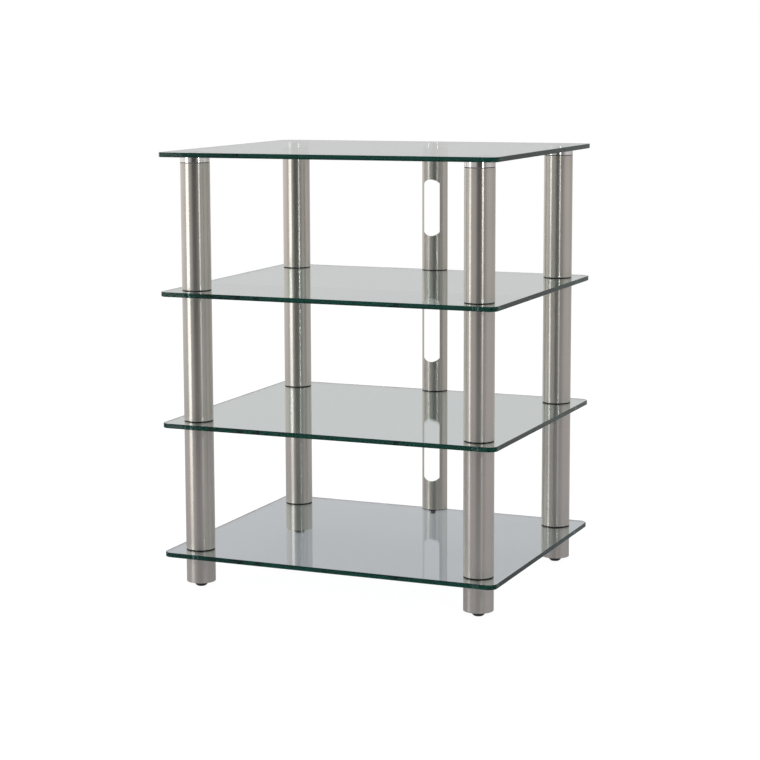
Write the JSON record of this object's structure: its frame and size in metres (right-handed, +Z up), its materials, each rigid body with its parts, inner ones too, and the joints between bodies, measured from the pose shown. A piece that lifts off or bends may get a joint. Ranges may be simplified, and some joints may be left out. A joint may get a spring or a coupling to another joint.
{
  "type": "audio equipment rack",
  "caption": "Free-standing open audio rack: rounded glass shelves on round brushed-steel posts, with a slotted half-round cable column at the back and screw-in levelling feet.",
  "frame": {"origin": "on the floor under the middle of the shelves", "axes": "+X to the right seen from the front, +Y to the back where the cable column stands, +Z up"},
  "size_m": [0.6, 0.505, 0.748],
  "materials": {
    "clear_glass": "clear float glass, ground edges with a green tint",
    "brushed_tube": "satin, brushed round the tube",
    "brushed_column": "satin, brushed round the column",
    "polished_disc": "polished",
    "black_rubber": "matt",
    "zinc_stud": "zinc plated",
    "turned_plug": "turned",
    "column_plate": "milled",
    "foot_pad": "satin moulded",
    "foot_stud": "black zinc",
    "black_screw": "black oxide"
  },
  "bodies": {
    "rack": {"bottom_shelf": "clear_glass", "lower_shelf": "clear_glass", "upper_shelf": "clear_glass", "top_shelf": "clear_glass", "lower_post_front_left": "brushed_tube", "lower_post_front_right": "brushed_tube", "lower_post_back_left": "brushed_tube", "lower_post_back_right": "brushed_tube", "middle_post_front_left": "brushed_tube", "middle_post_front_right": "brushed_tube", "middle_post_back_left": "brushed_tube", "middle_post_back_right": "brushed_tube", "upper_post_front_left": "brushed_tube", "upper_post_front_right": "brushed_tube", "upper_post_back_left": "brushed_tube", "upper_post_back_right": "brushed_tube", "leg_front_left": "brushed_tube", "leg_front_right": "brushed_tube", "leg_back_left": "brushed_tube", "leg_back_right": "brushed_tube", "lower_column": "brushed_column", "middle_column": "brushed_column", "upper_column": "brushed_column", "top_disc_front_left": "polished_disc", "top_disc_front_right": "polished_disc", "top_disc_back_left": "polished_disc", "top_disc_back_right": "polished_disc", "top_half_disc": "polished_disc", "bottom_shelf_under_gaskets": "black_rubber", "bottom_shelf_over_gaskets": "black_rubber", "lower_shelf_under_gaskets": "black_rubber", "lower_shelf_over_gaskets": "black_rubber", "upper_shelf_under_gaskets": "black_rubber", "upper_shelf_over_gaskets": "black_rubber", "top_disc_gaskets": "black_rubber", "column_gaskets": "black_rubber", "bottom_shelf_studs": "zinc_stud", "lower_shelf_studs": "zinc_stud", "upper_shelf_studs": "zinc_stud", "top_disc_studs": "zinc_stud", "column_studs": "zinc_stud", "leg_foot_plugs": "turned_plug", "leg_top_plugs": "turned_plug", "lower_post_plugs": "turned_plug", "middle_post_plugs": "turned_plug", "upper_post_plugs": "turned_plug", "lower_column_plates": "column_plate", "middle_column_plates": "column_plate", "upper_column_plates": "column_plate", "column_screw": "black_screw", "column_washer": "black_rubber"},
    "pad_front_left": {"foot_pad_front_left": "foot_pad"},
    "stud_front_left": {"foot_stud_front_left": "foot_stud"},
    "pad_front_right": {"foot_pad_front_right": "foot_pad"},
    "stud_front_right": {"foot_stud_front_right": "foot_stud"},
    "pad_back_left": {"foot_pad_back_left": "foot_pad"},
    "stud_back_left": {"foot_stud_back_left": "foot_stud"},
    "pad_back_right": {"foot_pad_back_right": "foot_pad"},
    "stud_back_right": {"foot_stud_back_right": "foot_stud"}
  },
  "joints": [
    {"name": "foot_travel_front_left", "type": "slide", "parent": "rack", "child": "pad_front_left", "axis": [0, 0, -1], "range_m": [0, 0.01]},
    {"name": "foot_turn_front_left", "type": "hinge", "parent": "pad_front_left", "child": "stud_front_left", "pos_m": [-0.254, -0.1995, 0.02], "axis": [0, 0, -1], "range_deg": [0, 2880]},
    {"name": "foot_travel_front_right", "type": "slide", "parent": "rack", "child": "pad_front_right", "axis": [0, 0, -1], "range_m": [0, 0.01]},
    {"name": "foot_turn_front_right", "type": "hinge", "parent": "pad_front_right", "child": "stud_front_right", "pos_m": [0.254, -0.1995, 0.02], "axis": [0, 0, -1], "range_deg": [0, 2880]},
    {"name": "foot_travel_back_left", "type": "slide", "parent": "rack", "child": "pad_back_left", "axis": [0, 0, -1], "range_m": [0, 0.01]},
    {"name": "foot_turn_back_left", "type": "hinge", "parent": "pad_back_left", "child": "stud_back_left", "pos_m": [-0.254, 0.2045, 0.02], "axis": [0, 0, -1], "range_deg": [0, 2880]},
    {"name": "foot_travel_back_right", "type": "slide", "parent": "rack", "child": "pad_back_right", "axis": [0, 0, -1], "range_m": [0, 0.01]},
    {"name": "foot_turn_back_right", "type": "hinge", "parent": "pad_back_right", "child": "stud_back_right", "pos_m": [0.254, 0.2045, 0.02], "axis": [0, 0, -1], "range_deg": [0, 2880]}
  ],
  "couplings": [
    {"joint": "foot_turn_front_left", "follows": "foot_travel_front_left", "rad_per_m": 5026.5},
    {"joint": "foot_turn_front_right", "follows": "foot_travel_front_right", "rad_per_m": 5026.5},
    {"joint": "foot_turn_back_left", "follows": "foot_travel_back_left", "rad_per_m": 5026.5},
    {"joint": "foot_turn_back_right", "follows": "foot_travel_back_right", "rad_per_m": 5026.5}
  ]
}
